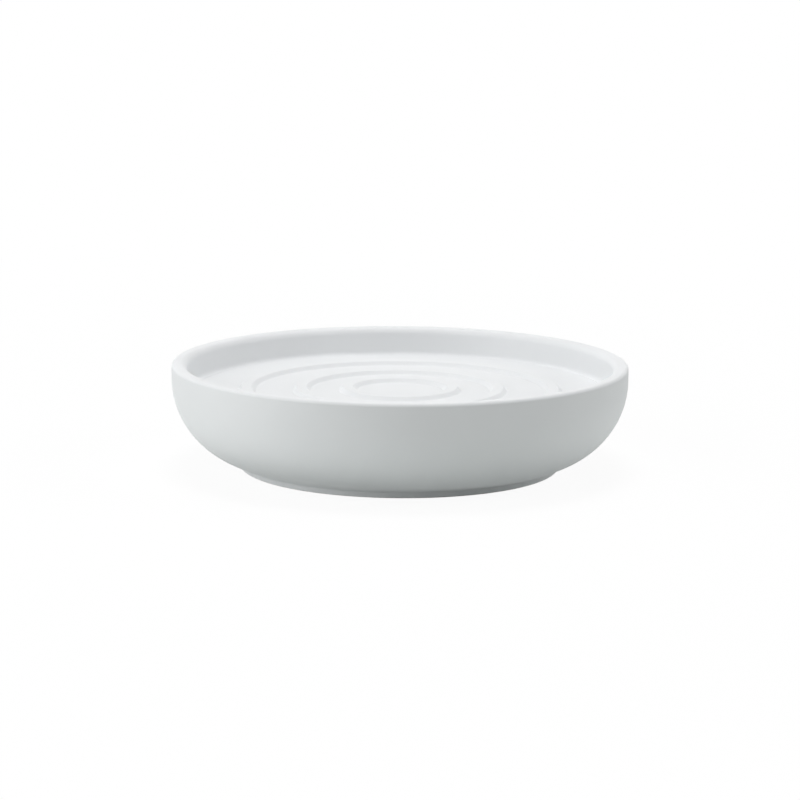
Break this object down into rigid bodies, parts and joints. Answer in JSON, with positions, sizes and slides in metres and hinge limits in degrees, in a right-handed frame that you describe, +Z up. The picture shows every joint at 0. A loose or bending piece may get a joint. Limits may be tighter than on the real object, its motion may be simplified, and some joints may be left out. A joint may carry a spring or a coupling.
{
  "type": "soap dish",
  "caption": "Round matt white stoneware soap dish: a rounded bowl on a foot ring, with a loose ring-ribbed tray that lifts out over a drip well.",
  "frame": {"origin": "on the table, under the middle of the dish", "axes": "+Z up, along the axis that the bowl and the tray are turned about"},
  "size_m": [0.12, 0.12, 0.028],
  "materials": {
    "bowl_stoneware": "matt soft-touch coat",
    "tray_stoneware": "matt soft-touch coat",
    "silicone": "translucent satin"
  },
  "bodies": {
    "bowl": {"dish_bowl": "bowl_stoneware", "foot_pad_1": "silicone", "foot_pad_2": "silicone", "foot_pad_3": "silicone", "foot_pad_4": "silicone"},
    "tray": {"ring_tray": "tray_stoneware", "tray_bumper_1": "silicone", "tray_bumper_2": "silicone", "tray_bumper_3": "silicone", "tray_bumper_4": "silicone"}
  },
  "joints": [
    {"name": "tray_lift", "type": "slide", "parent": "bowl", "child": "tray", "axis": [0, 0, 1], "range_m": [0, 0.04]}
  ]
}
